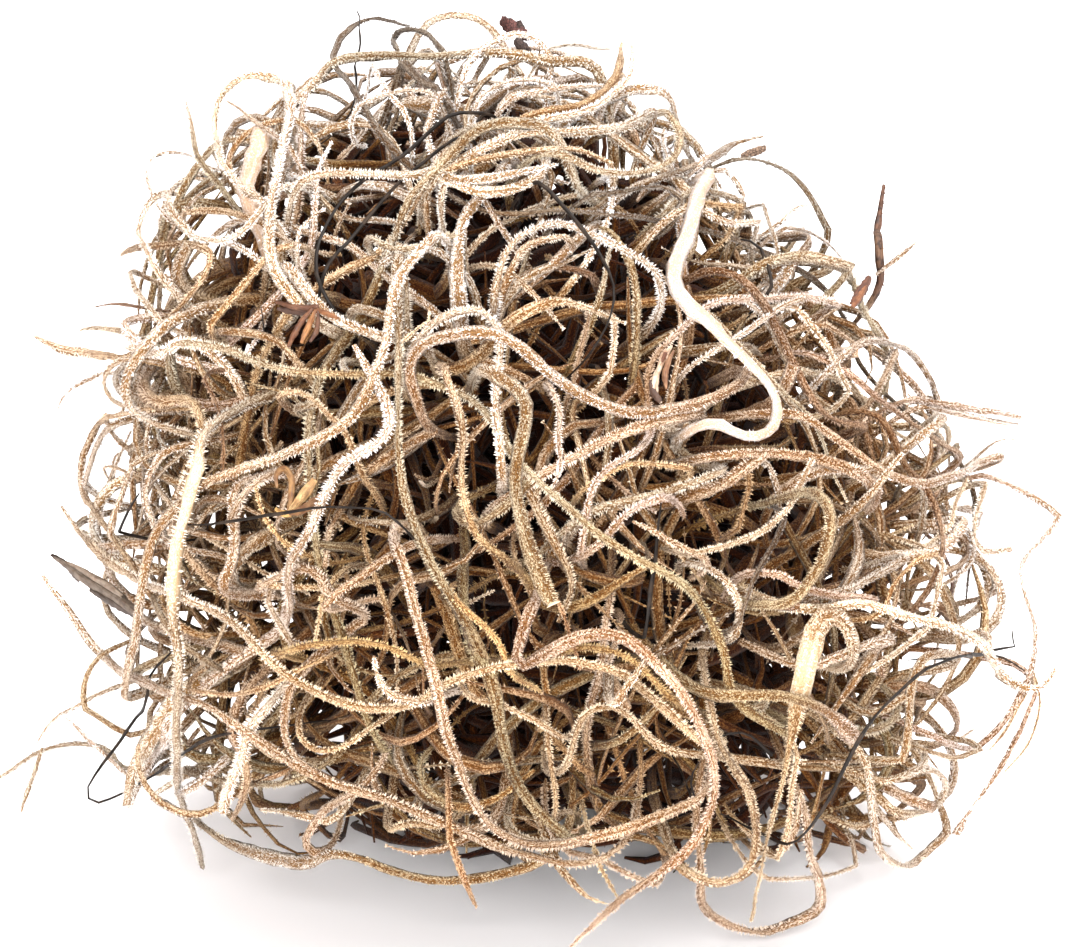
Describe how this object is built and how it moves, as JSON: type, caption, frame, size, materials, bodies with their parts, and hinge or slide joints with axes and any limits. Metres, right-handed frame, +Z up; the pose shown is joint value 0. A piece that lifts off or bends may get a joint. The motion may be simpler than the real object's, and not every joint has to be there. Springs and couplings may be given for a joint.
{
  "type": "spanish moss bunch",
  "caption": "Springy bunch of dried Spanish moss: long curly fuzzy strands, bare dark fibres and dry husks tangled into a mound that lies on a surface.",
  "frame": {"origin": "on the table plane under the middle of the bunch's overall box", "axes": "+X to the right along the widest extent, +Y away from the side shown in the reference view, +Z up"},
  "size_m": [0.0928, 0.088, 0.0759],
  "materials": {
    "strand": "dry leafy stems and thread leaves under a matt coat of silvery scales",
    "tendril": "thin dry leaf ends, scaly, matt, tan to red-brown",
    "dry_leaf": "shrivelled red-brown leaf, matt",
    "fibre": "wiry near-black stem core, slightly glossy",
    "husk": "papery brown sheath, seed capsule and flower remains, matt",
    "bark": "flake of dark red-brown bark, rough"
  },
  "bodies": {
    "root": {"fibre_centre": "fibre", "fibre_crown_lower": "fibre", "fibre_crown_upper": "fibre", "fibre_left_level": "fibre", "fibre_left_zigzag": "fibre", "fibre_right_bow": "fibre", "husk_bark_chip": "bark", "husk_dried_flower": "husk", "husk_seed_capsule": "husk", "husk_withered_sheath": "husk", "leaf_red_brown": "dry_leaf", "strand_back_high": "strand", "strand_back_left": "strand", "strand_back_low": "strand", "strand_back_right": "strand", "strand_bottom_sweep": "strand", "strand_centre_arch": "strand", "strand_centre_cross": "strand", "strand_centre_fork": "strand", "strand_crown_arc": "strand", "strand_crown_ring": "strand", "strand_crown_sweep": "strand", "strand_cut_arch": "strand", "strand_cut_leaf": "strand", "strand_descending_bow": "strand", "strand_front_tail": "strand", "strand_golden_prong": "strand", "strand_great_sweep": "strand", "strand_inner_loop": "strand", "strand_left_arch": "strand", "strand_left_outlier": "strand", "strand_left_thick": "strand", "strand_left_twig": "strand", "strand_lit_crescent": "strand", "strand_long_diagonal": "strand", "strand_long_fall": "strand", "strand_low_cross": "strand", "strand_main_upright": "strand", "strand_middle_rung": "strand", "strand_pale_fork": "strand", "strand_pale_hook": "strand", "strand_pale_sheath": "strand", "strand_pale_stick": "strand", "strand_right_arc": "strand", "strand_right_arch": "strand", "strand_right_brown": "strand", "strand_right_dark_drop": "strand", "strand_right_outrigger": "strand", "strand_right_reach": "strand", "strand_right_shelf": "strand", "strand_rising_pair_upper": "strand", "strand_second_arch": "strand", "strand_shoulder_loop": "strand", "strand_shoulder_swag": "strand", "strand_table_arc": "strand", "strand_white_elbow": "strand", "tendril_crown_curl": "tendril", "tendril_right_hanger": "tendril", "tendril_right_shoulder": "tendril", "tendril_right_trailer": "tendril"}
  },
  "joints": []
}
